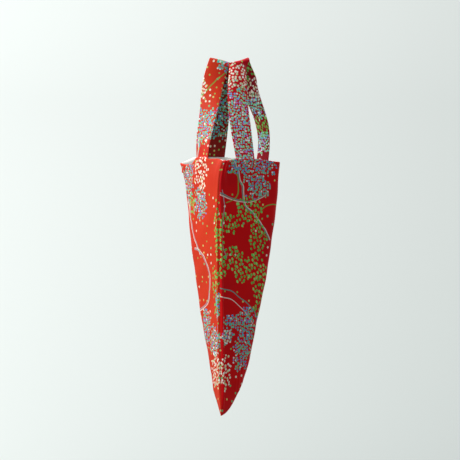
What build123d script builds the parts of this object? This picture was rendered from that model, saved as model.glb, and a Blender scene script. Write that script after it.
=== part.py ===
from build123d import *

import os
from math import atan2, cos, hypot, pi, radians, sin, sqrt, tan

# A tapered fabric gift bag with two carrying handles, as it hangs by its handles on a wire.
# Millimetres. +Z is up, +X is to the right and +Y is to the back.
# The origin is the lowest point of the wire's axis, between the crowns of the two handles.
#
# The bag is two mirrored panels, sewn together along a spine seam at the front and a belly seam
# at the back. Each panel is folded softly down its middle, so the mouth is about square.
# Each wall is an outer skin, a stiff interlining and a lining, nested with a small gap.

# ---- bag body ----
BAG_HEIGHT = 350.0            # from the rim to the tip
MOUTH_SEAM_HALF = 68.0        # from the mouth's centre to the spine seam
MOUTH_FOLD_HALF = 74.0        # from the mouth's centre to a panel's fold, before its rounding
BAG_TURN = 16.0               # degrees from +Y to the plane of the two seams
SPINE_LEAN = 16.0             # how much nearer the middle the tip is than the spine at the rim
SEAM_TAPER = 0.42             # share of the seam half size that is lost evenly down the bag
SEAM_ROUNDING = 8.0           # power that rounds the belly off towards the tip
FOLD_POWER = 0.61             # power that draws the folds in towards the tip
FOLD_RADIUS = 8.0             # of a panel's fold at the mouth
TIP_HALF = 0.9                # half size of the blunt end of the tip
SECTIONS = 9                  # cross-sections that the body is drawn through

# ---- cloth ----
SKIN = 0.6                    # printed outer cloth
LINING = 0.5                  # off-white inner cloth
LAYER_GAP = 0.05              # between two cloths that lie on each other
SEAM_ALLOWANCE = 8.0          # skin turned back beside the two seams
MOUTH_ALLOWANCE = 12.0        # skin turned in at the mouth
HOLLOW_TIP = 2.0              # smallest half size that a hollow is carried down to
THREAD = 0.5                  # thickness of a line of stitches
LINING_THREAD = 0.3           # thickness of a line of stitches in the thinner lining
THREAD_PROUD = 0.15           # how far a line of stitches stands out of the cloth
MOUTH_STITCH_DEPTH = 4.0      # from the rim to the row of stitches round the mouth

# ---- handles ----
HANDLE_DROP = 131.5           # from the origin down to the rim
STRAP_WIDTH = 30.0
STRAP_THICKNESS = 2.0
STRAP_SKIN = 0.5              # printed cloth round the webbing
EDGE_STITCH = 2.5             # from a strap's edge to its row of stitches
FRONT_OFFSET = 43.0           # from the spine seam to the middle of a front leg
BACK_OFFSET = 49.0            # from the belly seam to the middle of a back leg
TAIL_CLEARANCE = 0.1          # between a strap's tail and the cloths on each side of it
NOTCH_CLEARANCE = 0.25        # beside a strap's tail in the turned-in edge
ROOT_HEIGHT = 30.0            # strap above the rim that bends when its handle is folded
ROOT_GAP = 0.3                # between a strap's root and the rest of its handle

# ---- the wire that the crowns hang on ----
WIRE_RADIUS = 2.5
WIRE_CLEARANCE = 0.1
CROWN_GAP = 0.2               # from each crown's nearest corner to the middle of the wire
LEFT_CROWN_TILT = 15.0        # degrees that the wire rises to the left
RIGHT_CROWN_TILT = 21.0       # degrees that the wire rises to the right

# ---- how the legs hang: sideways bow of each leg, along X ----
LEFT_FRONT_BOW = -4.0
LEFT_BACK_BOW = 2.0
RIGHT_FRONT_BOW = -5.0
RIGHT_BACK_BOW = 8.0

RIM_Z = -HANDLE_DROP
CROWN_INNER = WIRE_RADIUS + WIRE_CLEARANCE
INTERLINING = STRAP_THICKNESS + 2 * TAIL_CLEARANCE  # stiff felt, as thick as a tail and its room
SKIN_IN = SKIN
FELT_OUT = SKIN_IN + LAYER_GAP
FELT_IN = FELT_OUT + INTERLINING
LINING_OUT = FELT_IN + LAYER_GAP
LINING_IN = LINING_OUT + LINING
TAIL_INSET = FELT_OUT + INTERLINING / 2
TURN = radians(BAG_TURN)

# The bag's own frame: x across the seam plane to the right, y towards the belly seam.
BAG = Plane(origin=(0, 0, RIM_Z), x_dir=(cos(TURN), -sin(TURN), 0), z_dir=(0, 0, 1))
SEAM_PLANE = Plane(origin=(0, 0, RIM_Z), x_dir=(sin(TURN), cos(TURN), 0), z_dir=(cos(TURN), -sin(TURN), 0))
SIDES = {"left": Keep.BOTTOM, "right": Keep.TOP}

os.makedirs("parts", exist_ok=True)


def finish(builder, name):
    """Label a finished piece and write its file."""
    builder.part.label = name
    export_step(builder.part, f"parts/{name}.step")


# ------------------------------------------------------------------ the bag's outline


def outline(share):
    """Half sizes along the seams and across the folds, and the spine's place, at a share of the height."""
    seam_half = MOUTH_SEAM_HALF * (1 - SEAM_TAPER * share) * sqrt(1 - share**SEAM_ROUNDING)
    fold_half = MOUTH_FOLD_HALF * (1 - share) ** FOLD_POWER
    spine = -MOUTH_SEAM_HALF + SPINE_LEAN * share
    return max(seam_half, TIP_HALF), max(fold_half, TIP_HALF), spine


def section_sizes(share, inset):
    """Half sizes, centre and fold radius of the section whose sides lie inset inside the skin."""
    seam_half, fold_half, spine = outline(share)
    slant = hypot(seam_half, fold_half)
    radius = FOLD_RADIUS * fold_half / MOUTH_FOLD_HALF
    inner_seam = seam_half - inset * slant / fold_half
    inner_fold = fold_half - inset * slant / seam_half
    return inner_seam, inner_fold, spine + seam_half, max(radius - inset, radius / 4)


def shares():
    """Shares of the height from the rim to the tip, closer together near the tip."""
    return [1 - (1 - i / (SECTIONS - 1)) ** 1.7 for i in range(SECTIONS)]


def cone(inset):
    """The closed body whose walls lie inset inside the outer skin, from the rim to the tip."""
    with BuildPart() as body:
        for share in shares():
            seam_half, fold_half, centre, radius = section_sizes(share, inset)
            if inset > 0 and min(seam_half, fold_half) < HOLLOW_TIP:
                continue
            with BuildSketch(BAG.offset(-BAG_HEIGHT * share)) as section:
                with BuildLine():
                    Polyline(
                        (0, centre - seam_half),
                        (fold_half, centre),
                        (0, centre + seam_half),
                        (-fold_half, centre),
                        close=True,
                    )
                make_face()
                folds = section.vertices().sort_by(Axis.X)
                fillet([folds[0], folds[-1]], radius)
        loft(ruled=True)
    return body.part


def allowance_zone():
    """The slab beside the seam plane, and the band below the rim, where the skin is turned back."""
    with BuildPart() as zone:
        with BuildSketch(BAG):
            Rectangle(2 * SEAM_ALLOWANCE * cos(pi / 4), 4 * MOUTH_FOLD_HALF)
        extrude(amount=-BAG_HEIGHT)
        with BuildSketch(BAG):
            Rectangle(4 * MOUTH_FOLD_HALF, 4 * MOUTH_FOLD_HALF)
        extrude(amount=-MOUTH_ALLOWANCE)
    return zone.part


# ------------------------------------------------------------------ the handles' legs


class Leg:
    """One leg of a handle: where it leaves the wall, and how it hangs up to the crown."""

    def __init__(self, side, front, bow):
        self.across = -1 if side == "left" else 1
        self.front = front
        self.bow = bow
        tilt = radians(LEFT_CROWN_TILT if side == "left" else RIGHT_CROWN_TILT)
        self.wire = Vector(cos(tilt), 0, self.across * sin(tilt))
        corner = STRAP_WIDTH / 2 * cos(tilt) + (CROWN_INNER + STRAP_THICKNESS) * sin(tilt)
        offset = corner + CROWN_GAP
        self.crown = Vector(self.across * offset, 0, offset * tan(tilt))
        self.outward = -1 if front else 1

    def wall_plane(self, depth):
        """Level plane in the middle of the wall, at a depth below the rim."""
        seam_half, fold_half, spine = outline(depth / BAG_HEIGHT)
        middle = spine + seam_half
        seam = Vector(0, middle + self.outward * seam_half)
        fold = Vector(self.across * fold_half, middle)
        along = (fold - seam).normalized()
        inward = Vector(0, middle) - seam
        inward = (inward - along * inward.dot(along)).normalized()
        place = seam + along * (FRONT_OFFSET if self.front else BACK_OFFSET) + inward * TAIL_INSET
        world = BAG.offset(-depth).from_local_coords(place)
        tip = BAG.offset(-depth).from_local_coords(place + along)
        along = (tip - world) * (1 if (tip - world).X > 0 else -1)
        return Plane(origin=world, x_dir=along, z_dir=(0, 0, self.outward))

    def plane(self, height):
        """Plane of the strap's section at a height above the rim, its y pointing out of the loop."""
        if height <= 0:
            return self.wall_plane(-height)
        base = self.wall_plane(0)
        end = self.crown + Vector(0, self.outward * (CROWN_INNER + STRAP_THICKNESS / 2), 0)
        share = height / (end.Z - RIM_Z)
        yaw = atan2(base.x_dir.Y, base.x_dir.X) * (1 - share)
        centre = base.origin + (end - base.origin) * share + Vector(self.bow * sin(pi * share), 0, 0)
        return Plane(origin=centre, x_dir=(cos(yaw), sin(yaw), 0), z_dir=(0, 0, self.outward))

    def crown_plane(self):
        """Plane of the strap's section where the leg leaves the crown."""
        up = Vector(0, self.outward, 0)
        origin = self.crown + up * (CROWN_INNER + STRAP_THICKNESS / 2)
        return Plane(origin=origin, x_dir=self.wire, z_dir=self.wire.cross(up))


LEGS = {
    "left": (Leg("left", True, LEFT_FRONT_BOW), Leg("left", False, LEFT_BACK_BOW)),
    "right": (Leg("right", True, RIGHT_FRONT_BOW), Leg("right", False, RIGHT_BACK_BOW)),
}
LOOP_HEIGHTS = (ROOT_HEIGHT + ROOT_GAP, 0.43 * HANDLE_DROP, 0.65 * HANDLE_DROP, 0.87 * HANDLE_DROP)
ROOT_HEIGHTS = (-MOUTH_ALLOWANCE, 0, ROOT_HEIGHT / 2, ROOT_HEIGHT)


def strap_leg(planes, across, width, inner, outer):
    """A strip of the strap along one leg, from inner to outer through its thickness."""
    with BuildPart() as leg:
        for plane in planes:
            with BuildSketch(plane):
                with Locations((across, (inner + outer - STRAP_THICKNESS) / 2)):
                    Rectangle(width, outer - inner)
        loft(ruled=True)
    return leg.part


def strap_loop(side, across, width, inner, outer):
    """A strip of the strap that runs up one leg, over the crown and down the other leg."""
    front, back = LEGS[side]
    start = front.crown + front.wire * (across - width / 2)
    with BuildPart() as loop:
        with BuildSketch(Plane(origin=start, x_dir=(0, 1, 0), z_dir=front.wire)):
            Circle(CROWN_INNER + outer)
            Circle(CROWN_INNER + inner, mode=Mode.SUBTRACT)
            reach = CROWN_INNER + outer
            Rectangle(2 * reach, reach, align=(Align.CENTER, Align.MAX), mode=Mode.SUBTRACT)
        extrude(amount=width)
        for leg in (front, back):
            planes = [leg.plane(height) for height in LOOP_HEIGHTS] + [leg.crown_plane()]
            add(strap_leg(planes, across, width, inner, outer))
    return loop.part


# ------------------------------------------------------------------ the bag's cloth

skin_outside = cone(0)
skin_inside = cone(SKIN_IN)
felt_outside = cone(FELT_OUT)
felt_inside = cone(FELT_IN)
lining_outside = cone(LINING_OUT)
lining_inside = cone(LINING_IN)
turned_back = allowance_zone()

notches = {}
for side, legs in LEGS.items():
    with BuildPart() as notch:
        for leg in legs:
            room = NOTCH_CLEARANCE
            planes = [leg.plane(height) for height in ROOT_HEIGHTS[:2]]
            add(strap_leg(planes, 0, STRAP_WIDTH + 2 * room, -2 * room, STRAP_THICKNESS + 2 * room))
    notches[side] = notch.part

for side, keep in SIDES.items():
    with BuildPart() as turned:
        add(felt_outside)
        add(felt_inside, mode=Mode.SUBTRACT)
        add(turned_back, mode=Mode.INTERSECT)
        add(notches[side], mode=Mode.SUBTRACT)
        split(bisect_by=SEAM_PLANE, keep=keep)

    # The outer skin of one side, with its allowances turned back against its inside.
    with BuildPart() as panel:
        add(skin_outside)
        add(felt_outside, mode=Mode.SUBTRACT)
        split(bisect_by=SEAM_PLANE, keep=keep)
        add(turned.part)
    finish(panel, f"{side}_panel")

    # The stiff felt inside the skin, between the turned allowances.
    with BuildPart() as interlining:
        add(felt_outside)
        add(felt_inside, mode=Mode.SUBTRACT)
        add(turned_back, mode=Mode.SUBTRACT)
        split(bisect_by=SEAM_PLANE, keep=keep)
    finish(interlining, f"{side}_interlining")

    # The lining, sewn to the skin along the rim.
    with BuildPart() as lining:
        add(lining_outside)
        add(lining_inside, mode=Mode.SUBTRACT)
        split(bisect_by=SEAM_PLANE, keep=keep)
    finish(lining, f"{side}_lining")

# ------------------------------------------------------------------ the bag's stitching


def seam_thread(inset, end, thickness):
    """A line of stitches down one seam, inset inside the skin; end is -1 at the spine, 1 at the belly."""
    with BuildPart() as thread:
        for share in shares():
            seam_half, fold_half, centre, _ = section_sizes(share, inset)
            if min(seam_half, fold_half) < HOLLOW_TIP:
                continue
            with BuildSketch(BAG.offset(-BAG_HEIGHT * share - (thickness if share == 0 else 0))):
                with Locations((0, centre + end * seam_half)):
                    Rectangle(thickness, thickness)
        loft(ruled=True)
    return thread


for name, end in (("spine", -1), ("belly", 1)):
    finish(seam_thread(TAIL_INSET, end, THREAD), f"{name}_seam_thread")
    finish(seam_thread(LINING_OUT + LINING / 2, end, LINING_THREAD), f"lining_{name}_seam_thread")

# A row of stitches round the mouth holds the skin, the strap tails and the lining together.
stitch_top = cone(-THREAD_PROUD)
stitch_bottom = cone(SKIN_IN / 2)
with BuildPart() as mouth_thread:
    with BuildSketch(BAG.offset(-MOUTH_STITCH_DEPTH)):
        Rectangle(4 * MOUTH_FOLD_HALF, 4 * MOUTH_FOLD_HALF)
    extrude(amount=-THREAD)
    add(stitch_top, mode=Mode.INTERSECT)
    add(stitch_bottom, mode=Mode.SUBTRACT)
finish(mouth_thread, "mouth_topstitching")

# ------------------------------------------------------------------ the handles

for side, legs in LEGS.items():
    # The stretch of each leg that bends, with the tail that is sewn into the wall.
    for leg, place in zip(legs, ("front", "back")):
        with BuildPart() as root:
            planes = [leg.plane(height) for height in ROOT_HEIGHTS]
            add(strap_leg(planes, 0, STRAP_WIDTH, 0, STRAP_THICKNESS))
        finish(root, f"{side}_{place}_strap_root")

    # The printed cloth that is folded round the webbing.
    with BuildPart() as strap:
        add(strap_loop(side, 0, STRAP_WIDTH, 0, STRAP_THICKNESS))
        room = STRAP_SKIN
        add(strap_loop(side, 0, STRAP_WIDTH - 2 * room, room, STRAP_THICKNESS - room), mode=Mode.SUBTRACT)
    finish(strap, f"{side}_strap")

    # The webbing that stiffens the strap.
    with BuildPart() as core:
        room = STRAP_SKIN + LAYER_GAP
        add(strap_loop(side, 0, STRAP_WIDTH - 2 * room, room, STRAP_THICKNESS - room))
    finish(core, f"{side}_strap_core")

    # A row of stitches along each edge of the strap.
    with BuildPart() as stitching:
        for edge in (-1, 1):
            place = edge * (STRAP_WIDTH / 2 - EDGE_STITCH)
            add(strap_loop(side, place, THREAD, LAYER_GAP, STRAP_THICKNESS + THREAD_PROUD))
    finish(stitching, f"{side}_strap_stitching")
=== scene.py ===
"""A tapered fabric gift bag with two soft handles, hanging as it does from a wire.

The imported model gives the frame: where the rim, the tip and the hinges of the handles are.
Each sub-assembly is a class with its sizes as fields; each finish is a frozen dataclass.
Everything is in metres, with +Z up, +X to the right and +Y to the back.
"""

import logging
from collections.abc import Callable
from dataclasses import dataclass, field, replace
from enum import Enum
from functools import reduce

import bpy
import numpy as np
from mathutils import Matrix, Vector


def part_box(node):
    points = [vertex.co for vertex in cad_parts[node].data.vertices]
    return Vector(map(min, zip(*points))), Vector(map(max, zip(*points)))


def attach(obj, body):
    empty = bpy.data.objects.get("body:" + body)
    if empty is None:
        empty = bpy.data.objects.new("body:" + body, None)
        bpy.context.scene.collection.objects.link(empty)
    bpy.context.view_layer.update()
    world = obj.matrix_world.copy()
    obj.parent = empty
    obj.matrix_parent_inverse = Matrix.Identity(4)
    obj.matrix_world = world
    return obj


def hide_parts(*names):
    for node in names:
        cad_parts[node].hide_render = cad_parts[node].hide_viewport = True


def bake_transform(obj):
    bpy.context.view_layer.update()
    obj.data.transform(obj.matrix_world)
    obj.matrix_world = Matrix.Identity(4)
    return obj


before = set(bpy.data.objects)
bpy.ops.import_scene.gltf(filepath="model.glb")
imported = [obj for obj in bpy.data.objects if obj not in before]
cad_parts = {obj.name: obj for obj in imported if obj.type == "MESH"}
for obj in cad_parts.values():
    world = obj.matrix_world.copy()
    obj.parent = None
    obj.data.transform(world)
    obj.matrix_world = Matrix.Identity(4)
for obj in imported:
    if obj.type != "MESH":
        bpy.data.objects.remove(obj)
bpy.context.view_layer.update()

LOG = logging.getLogger("gift_bag")
MM = 0.001
PI = np.pi
UP = np.array([0.0, 0.0, 1.0])
STITCH_RINGS = 7
STITCH_SIDES = 6
STITCH_END = 0.999

Colour = tuple[float, float, float, float]
Point = tuple[float, float, float]
Stops = tuple[tuple[float, Colour], ...]


class Side(Enum):
    """The two mirrored halves of the bag; the value is the direction of each along x."""

    LEFT = -1
    RIGHT = 1

    @property
    def word(self) -> str:
        """The side's name as it stands in the names of pieces."""
        return self.name.lower()


class Dots(Enum):
    """The three families of dots in the print."""

    COOL = "cool"
    CREAM = "cream"
    LEAF = "leaf"


# ------------------------------------------------------------------ working with surfaces


def ease(x: np.ndarray, start: float, end: float) -> np.ndarray:
    """A smooth step from 0 at start to 1 at end: 3t^2 - 2t^3 of the clipped share t.

    Args:
        x: Where the step is read.
        start: Where it begins.
        end: Where it is complete; it may be lower than start.

    Returns:
        The step's height at each x.
    """
    share = np.clip((x - start) / (end - start), 0.0, 1.0)
    return share * share * (3.0 - 2.0 * share)


def bell(x: np.ndarray, middle: float, reach: float) -> np.ndarray:
    """A bell curve, exp(-((x - middle) / reach)^2)."""
    return np.exp(-(((x - middle) / reach) ** 2))


def unit(v: np.ndarray) -> np.ndarray:
    """Vectors along the last axis, scaled to a length of one."""
    return v / np.maximum(np.linalg.norm(v, axis=-1, keepdims=True), 1e-12)


def grid_normals(points: np.ndarray) -> np.ndarray:
    """Unit normals of a grid of points: the cross product of its two central differences.

    Args:
        points: Array (rows, columns, 3).

    Returns:
        Array (rows, columns, 3); its sign follows rows crossed with columns.
    """
    down = np.gradient(points, axis=0)
    along = np.gradient(points, axis=1)
    return unit(np.cross(down, along))


def run_length(points: np.ndarray, axis: int) -> np.ndarray:
    """Arc length from the first point, summed along one axis of a grid of points."""
    steps = np.linalg.norm(np.diff(points, axis=axis), axis=-1)
    first = np.zeros_like(np.take(steps, [0], axis=axis))
    return np.concatenate([first, np.cumsum(steps, axis=axis)], axis=axis)


def make_piece(
    name: str, vertices: np.ndarray, faces: list[np.ndarray], uv: list[np.ndarray] | None = None
) -> bpy.types.Object:
    """Makes a smooth-shaded piece from whole arrays of vertices, faces and face-corner UVs.

    Args:
        name: The piece's name.
        vertices: Array (n, 3).
        faces: Arrays of vertex numbers, (m, 4) for quads and (m, 3) for triangles.
        uv: Matching arrays (m, corners, 2), in metres on the cloth.

    Returns:
        The new object, at the origin.
    """
    mesh = bpy.data.meshes.new(name)
    listed = [face for block in faces for face in block.tolist()]
    mesh.from_pydata(vertices.reshape(-1, 3).tolist(), [], listed)
    if uv is not None:
        layer = mesh.uv_layers.new(name="cloth")
        flat = np.concatenate([block.reshape(-1, 2) for block in uv])
        layer.data.foreach_set("uv", flat.astype(np.float32).ravel())
    mesh.polygons.foreach_set("use_smooth", np.ones(len(mesh.polygons), bool))
    mesh.update()
    piece = bpy.data.objects.new(name, mesh)
    bpy.context.scene.collection.objects.link(piece)
    return piece


def make_grid(
    name: str,
    points: np.ndarray,
    uv: np.ndarray,
    wrap: bool = False,
    flip: bool = False,
    caps: tuple[bool, bool] = (False, False),
) -> bpy.types.Object:
    """Makes a piece from a grid of points, wrapped round and closed at its ends where asked.

    Args:
        name: The piece's name.
        points: Array (rows, columns, 3).
        uv: Array (rows, columns, 2), with one more column when the grid is wrapped.
        wrap: True joins the last column to the first.
        flip: True turns the faces over.
        caps: Whether the first and the last row are closed by a fan to their middle.

    Returns:
        The new object.
    """
    rows, columns = points.shape[:2]
    spans = np.arange(columns if wrap else columns - 1)
    r, c = (k.ravel() for k in np.meshgrid(np.arange(rows - 1), spans, indexing="ij"))
    corners = [(r, c), (r + 1, c), (r + 1, c + 1), (r, c + 1)]
    faces = [np.stack([a * columns + b % columns for a, b in corners], axis=1)]
    uvs = [np.stack([uv[a, b] for a, b in corners], axis=1)]
    vertices = [points.reshape(-1, 3)]
    middle = rows * columns
    for asked, row, turn in ((caps[0], 0, 1), (caps[1], rows - 1, -1)):
        if not asked:
            continue
        pair = (spans, spans + 1)[::turn]
        edge = [row * columns + p % columns for p in pair]
        faces.append(np.stack([*edge, np.full_like(spans, middle)], axis=1))
        middle_uv = np.broadcast_to(uv[row].mean(axis=0), (len(spans), 2))
        uvs.append(np.stack([uv[row, pair[0]], uv[row, pair[1]], middle_uv], axis=1))
        vertices.append(points[row].mean(axis=0)[None])
        middle += 1
    if flip:
        faces = [f[:, ::-1] for f in faces]
        uvs = [u[:, ::-1] for u in uvs]
    return make_piece(name, np.concatenate(vertices), faces, uvs)


@dataclass(frozen=True)
class Stitch:
    """A kind of stitch: its pitch and length, its thread's radius, and how far it arches out."""

    pitch: float
    length: float
    radius: float
    proud: float


MOUTH_STITCH = Stitch(3.2 * MM, 2.4 * MM, 0.24 * MM, 0.16 * MM)
SEAM_STITCH = Stitch(2.8 * MM, 2.2 * MM, 0.22 * MM, 0.1 * MM)
STRAP_STITCH = Stitch(3.0 * MM, 2.3 * MM, 0.2 * MM, 0.12 * MM)


def stitch_row(path: np.ndarray, out: np.ndarray, stitch: Stitch) -> np.ndarray:
    """Stitches along a path: each is a small closed capsule, thick in its middle, that arches out.

    A stitch's line is the path read from -length/2 to length/2 about its middle. Its radius is
    radius * sqrt(1 - x^2) and it stands off the cloth by proud * (1 - x^2), with x from -1 to 1.

    Args:
        path: Array (n, 3) of points along the row.
        out: Array (n, 3) of unit vectors that point out of the cloth.
        stitch: The kind of stitch.

    Returns:
        Vertices (stitches, rings, sides, 3).
    """
    run = run_length(path, 0)
    count = max(int((run[-1] - stitch.length) / stitch.pitch), 1)
    middles = (np.arange(count) + 0.5) * (run[-1] / count)
    x = np.sin(np.linspace(-PI / 2, PI / 2, STITCH_RINGS)).clip(-STITCH_END, STITCH_END)
    reach = (middles[:, None] + x * stitch.length / 2).clip(0, run[-1])
    line = np.stack([np.interp(reach, run, path[:, k]) for k in range(3)], axis=-1)
    up = unit(np.stack([np.interp(reach, run, out[:, k]) for k in range(3)], axis=-1))
    ahead = unit(line[:, -1:] - line[:, :1])
    across = unit(np.cross(ahead, up))
    up = np.cross(across, ahead)
    line = line + up * (stitch.proud * (1 - x**2))[:, None]
    thick = stitch.radius * np.sqrt(1 - x**2)
    turn = np.arange(STITCH_SIDES)[:, None] * (2 * PI / STITCH_SIDES)
    ring = np.cos(turn) * up[:, :, None] + np.sin(turn) * across[:, :, None]
    return line[:, :, None] + ring * thick[:, None, None]


def make_stitches(name: str, rows: list[np.ndarray]) -> bpy.types.Object:
    """One piece from rows of stitches, each stitch closed at both ends.

    Args:
        name: The piece's name.
        rows: What stitch_row gives for each row.

    Returns:
        The new object.
    """
    rings = np.concatenate(rows)
    stitches, count, sides = rings.shape[:3]
    start = np.arange(stitches)[:, None] * (count * sides)
    ring, side = np.arange(count - 1)[:, None], np.arange(sides)
    corners = ((ring, side), (ring, side + 1), (ring + 1, side + 1), (ring + 1, side))
    numbers = [(start[..., None] + a * sides + b % sides).ravel() for a, b in corners]
    first = start + side[::-1]
    last = start + (count - 1) * sides + side
    return make_piece(name, rings, [np.stack(numbers, axis=1), first, last])


# ------------------------------------------------------------------ shader expressions


class Net:
    """The node tree of one material, with one method that adds any node."""

    def __init__(self, name: str) -> None:
        """Starts an empty material.

        Args:
            name: The material's name.
        """
        self.material = bpy.data.materials.new(name)
        self.material.use_nodes = True
        self.tree = self.material.node_tree
        self.tree.nodes.clear()

    def node(self, kind: str, settings: dict, sockets: dict) -> bpy.types.Node:
        """Adds a node: its settings are set first, then the values or links of its sockets.

        Args:
            kind: The node's type, without its ShaderNode prefix.
            settings: Properties of the node; "stops" gives a ramp its places and colours.
            sockets: Values or fields by socket name or number.

        Returns:
            The new node.
        """
        made = self.tree.nodes.new("ShaderNode" + kind)
        for key, value in settings.items():
            if key == "stops":
                self.set_stops(made.color_ramp, value)
            else:
                setattr(made, key, value)
        for key, value in sockets.items():
            if isinstance(value, Field):
                self.tree.links.new(value.socket, made.inputs[key])
            else:
                made.inputs[key].default_value = value
        return made

    @staticmethod
    def set_stops(ramp: bpy.types.ColorRamp, stops: Stops) -> None:
        """Gives a ramp these places and colours, with no blend between them."""
        ramp.interpolation = "CONSTANT"
        while len(ramp.elements) < len(stops):
            ramp.elements.new(0.5)
        for element, (place, colour) in zip(ramp.elements, stops):
            element.position = place
            element.color = colour

    def read(self, kind: str, settings: dict, sockets: dict, output: int | str = 0) -> "Field":
        """One output of a node that is added as node() adds it."""
        return Field(self, self.node(kind, settings, sockets).outputs[output])

    def math(self, operation: str, *values: "Field | float") -> "Field":
        """A Math node on one to three values."""
        return self.read("Math", {"operation": operation}, dict(enumerate(values)))

    def vector(self, operation: str, *values: "Field | tuple", out: int = 0) -> "Field":
        """A Vector Math node; out is 1 for a length or distance."""
        return self.read("VectorMath", {"operation": operation}, dict(enumerate(values)), out)

    def mix(self, share: "Field", a: "Field | Colour", b: "Field | Colour") -> "Field":
        """Colour a where share is 0 and colour b where it is 1."""
        return self.read("Mix", {"data_type": "RGBA"}, {0: share, 6: a, 7: b}, 2)

    def parts(self, vector: "Field") -> tuple["Field", "Field", "Field"]:
        """The three components of a vector."""
        made = self.node("SeparateXYZ", {}, {0: vector})
        return tuple(Field(self, made.outputs[k]) for k in range(3))

    def turn(self, where: "Field", angle: float) -> "Field":
        """A place turned about the origin of the cloth."""
        sockets = {"Vector": where, "Angle": angle}
        return self.read("VectorRotate", {"rotation_type": "Z_AXIS"}, sockets)

    def noise(
        self, where: "Field", size: float, detail: float = 2.0, kind: str = "2D", out: str = "Fac"
    ) -> "Field":
        """Noise about a middle of 0.5.

        Args:
            where: Where it is read.
            size: About how large its features are, in metres.
            detail: How many finer layers it has.
            kind: 2D or 3D.
            out: Fac for a value, Color for three of them.

        Returns:
            The noise.
        """
        sockets = {"Vector": where, "Scale": 1.0 / size, "Detail": detail, "Roughness": 0.5}
        return self.read("TexNoise", {"noise_dimensions": kind}, sockets, out)

    def weave(self, where: "Field", pitch: float) -> "Field":
        """Crossed threads: the sine of the place across times that of the place down."""
        across, down, _ = self.parts(where)
        turns = 2 * PI / pitch
        return (across * turns).sine() * (down * turns).sine()

    def finish(
        self,
        colour: "Field",
        roughness: "Field",
        height: "Field",
        bump: tuple[float, float],
        constants: dict,
    ) -> bpy.types.Material:
        """Ends the material with a principled shader.

        Args:
            colour: Base colour.
            roughness: Roughness.
            height: What the bump follows.
            bump: The bump's strength, and its distance in metres.
            constants: Values of the shader's other sockets.

        Returns:
            The material.
        """
        sockets = {"Strength": bump[0], "Distance": bump[1], "Height": height}
        normal = self.read("Bump", {}, sockets)
        sockets = {"Base Color": colour, "Roughness": roughness, "Normal": normal, **constants}
        shader = self.read("BsdfPrincipled", {}, sockets)
        self.node("OutputMaterial", {}, {"Surface": shader})
        return self.material


def operator(
    operation: str, reflected: bool = False
) -> Callable[["Field", "Field | float"], "Field"]:
    """A method of Field that joins it with another value in a Math node.

    Args:
        operation: The Math node's operation.
        reflected: True where the other value comes first.

    Returns:
        The method.
    """

    def joined(one: "Field", other: "Field | float") -> "Field":
        """The Math node's result on the two values."""
        return one.net.math(operation, *((other, one) if reflected else (one, other)))

    return joined


@dataclass(frozen=True)
class Field:
    """A shader socket that takes part in arithmetic; each operator adds its Math node."""

    net: Net
    socket: bpy.types.NodeSocket

    __add__ = operator("ADD")
    __radd__ = operator("ADD", reflected=True)
    __sub__ = operator("SUBTRACT")
    __rsub__ = operator("SUBTRACT", reflected=True)
    __mul__ = operator("MULTIPLY")
    __rmul__ = operator("MULTIPLY", reflected=True)
    __truediv__ = operator("DIVIDE")
    __rtruediv__ = operator("DIVIDE", reflected=True)
    __lt__ = operator("LESS_THAN")
    __gt__ = operator("GREATER_THAN")
    top = operator("MAXIMUM")
    low = operator("MINIMUM")

    def sine(self) -> "Field":
        """Its sine."""
        return self.net.math("SINE", self)

    def cosine(self) -> "Field":
        """Its cosine."""
        return self.net.math("COSINE", self)

    def root(self) -> "Field":
        """Its square root."""
        return self.net.math("SQRT", self)

    def size(self) -> "Field":
        """Its absolute value."""
        return self.net.math("ABSOLUTE", self)

    def fade(self, start: float, end: float) -> "Field":
        """A smooth step from 0 at start to 1 at end."""
        low, high, first, last = (start, end, 0.0, 1.0) if start < end else (end, start, 1.0, 0.0)
        sockets = {0: self, 1: low, 2: high, 3: first, 4: last}
        return self.net.read("MapRange", {"interpolation_type": "SMOOTHSTEP"}, sockets)


def srgb(red: float, green: float, blue: float) -> Colour:
    """A colour of 0 to 255 steps as the linear RGBA that a shader takes."""
    share = np.array([red, green, blue]) / 255.0
    linear = np.where(share <= 0.04045, share / 12.92, ((share + 0.055) / 1.055) ** 2.4)
    return (*(float(x) for x in linear), 1.0)


# ------------------------------------------------------------------ finishes

PALE_LINE = srgb(240, 230, 216)
LINE_FADE = (0.95 * MM, 0.45 * MM)
TWIN_FADE = (0.85 * MM, 0.4 * MM)
SOFT_COOL = (
    (0.0, srgb(102, 216, 182)),
    (0.28, srgb(66, 196, 196)),
    (0.54, srgb(92, 170, 226)),
    (0.70, srgb(232, 244, 240)),
    (0.79, srgb(184, 120, 196)),
    (0.86, srgb(112, 214, 148)),
)
# A brighter copy of the cool dot colours, used on the right strap: painted light.
PAINTED_LIGHT_COOL = (
    (0.0, srgb(140, 242, 206)),
    (0.30, srgb(104, 228, 220)),
    (0.50, srgb(112, 196, 250)),
    (0.66, srgb(246, 252, 252)),
    (0.79, srgb(206, 140, 216)),
    (0.86, srgb(134, 236, 168)),
)


@dataclass(frozen=True)
class Patch:
    """A patch of dots: its family, and its middle and reach across and down the cloth, in mm."""

    dots: Dots
    across: float
    down: float
    reach_across: float
    reach_down: float


@dataclass(frozen=True)
class Stroke:
    """A thin wandering line: across = start + lean * down + sway * sin(down / wave + phase), in mm.

    It runs from first to last down the cloth, and twin is the gap to its second line, or 0.
    """

    start: float
    lean: float
    sway: float
    wave: float
    phase: float
    first: float
    last: float
    colour: Colour
    twin: float = 0.0


@dataclass(frozen=True)
class Arc:
    """A thin arc of a circle on the cloth, in mm: middle, radius, and the box that shows it."""

    across: float
    down: float
    radius: float
    box: tuple[float, float, float, float]
    colour: Colour
    twin: float = 0.0


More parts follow.
